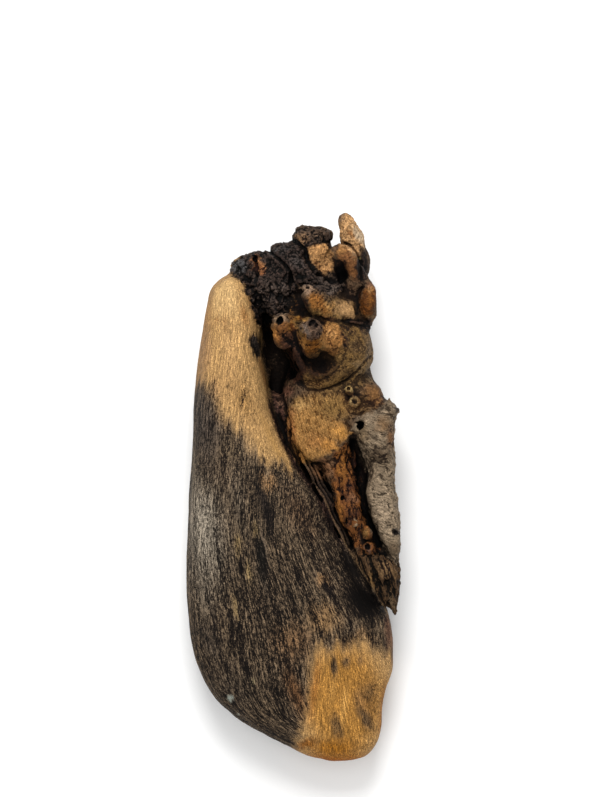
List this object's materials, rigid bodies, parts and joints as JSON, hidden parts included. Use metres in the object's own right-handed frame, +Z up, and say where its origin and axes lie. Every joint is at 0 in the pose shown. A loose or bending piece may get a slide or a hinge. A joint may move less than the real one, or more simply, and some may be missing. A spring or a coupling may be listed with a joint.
{
  "type": "burl turning blank",
  "caption": "Natural burl blank of root wood: a smooth paddle-shaped limb beside a knotted, bark-topped burl, with a deep cleft between them.",
  "frame": {"origin": "centre of the bounding box's base, on the plane of the flat that it lies on", "axes": "+Y along the blank towards the barky crown, +X across it towards the grey flange, +Z up, away from the flat"},
  "size_m": [0.1074, 0.2758, 0.0702],
  "materials": {
    "burl_wood": "Bare weathered wood, satin: tan where freshly stripped, dark brown to grey where weathered, black bark crust at the crown"
  },
  "bodies": {
    "root": {"burl_blank": "burl_wood"}
  },
  "joints": []
}
